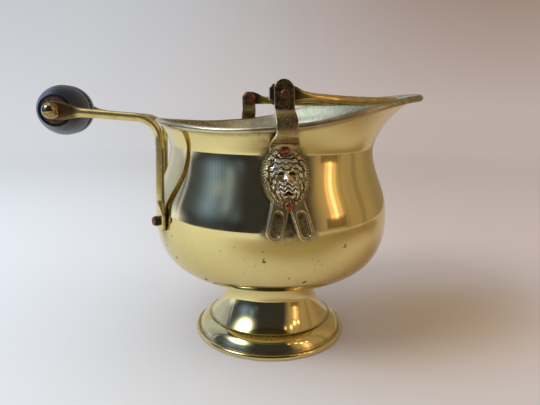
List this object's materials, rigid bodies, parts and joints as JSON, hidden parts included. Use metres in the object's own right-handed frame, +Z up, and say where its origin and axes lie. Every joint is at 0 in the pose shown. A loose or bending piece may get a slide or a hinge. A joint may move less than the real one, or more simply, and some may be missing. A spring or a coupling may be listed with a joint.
{
  "type": "coal scuttle",
  "caption": "Small footed brass coal scuttle with a flared pouring lip, a swinging bail on lion-mask ears and a rear handle with a turned black grip.",
  "frame": {"origin": "on the floor, under the middle of the length from the rear grip to the tip of the pouring lip", "axes": "+X towards the pouring lip, +Y to the scuttle's left, +Z up"},
  "size_m": [0.1867, 0.1232, 0.1295],
  "materials": {
    "bowl": "spun sheet brass, polished to a mirror, with small pits and scratches",
    "foot": "spun sheet brass, polished to a mirror",
    "solder_seam": "dull grey solder fillet",
    "ear": "cast brass, darkened, with bright worn high spots",
    "ear_rivet": "brown copper, worn smooth",
    "pivot_rivet": "dark copper",
    "bail": "golden brass rod with darker hammered ends",
    "handle_arm": "drawn brass rod, polished",
    "arm_collar": "dark oxidised steel",
    "arm_rivet": "copper",
    "grip": "turned wood, lacquered glossy black, bare brown at the ends",
    "spindle": "brass rod",
    "washer": "brass",
    "ball_nut": "polished brass"
  },
  "bodies": {
    "scuttle": {"bowl": "bowl", "foot": "foot", "solder_seam": "solder_seam", "left_ear": "ear", "left_ear_top_rivet": "ear_rivet", "left_ear_bottom_rivet": "ear_rivet", "left_pivot_rivet": "pivot_rivet", "left_handle_arm": "handle_arm", "left_arm_collar": "arm_collar", "left_arm_rivet": "arm_rivet", "left_grip_washer": "washer", "left_ball_nut": "ball_nut", "right_ear": "ear", "right_ear_top_rivet": "ear_rivet", "right_ear_bottom_rivet": "ear_rivet", "right_pivot_rivet": "pivot_rivet", "right_handle_arm": "handle_arm", "right_arm_collar": "arm_collar", "right_arm_rivet": "arm_rivet", "right_grip_washer": "washer", "right_ball_nut": "ball_nut", "grip_spindle": "spindle"},
    "bail": {"bail": "bail"},
    "grip": {"grip": "grip"}
  },
  "joints": [
    {"name": "bail_swing", "type": "hinge", "parent": "scuttle", "child": "bail", "pos_m": [0.01208, 0, 0.1236], "axis": [0, -1, 0], "range_deg": [0, 187]},
    {"name": "grip_spin", "type": "hinge", "parent": "scuttle", "child": "grip", "pos_m": [-0.08172, 0, 0.116], "axis": [0, 1, 0], "continuous": true}
  ]
}
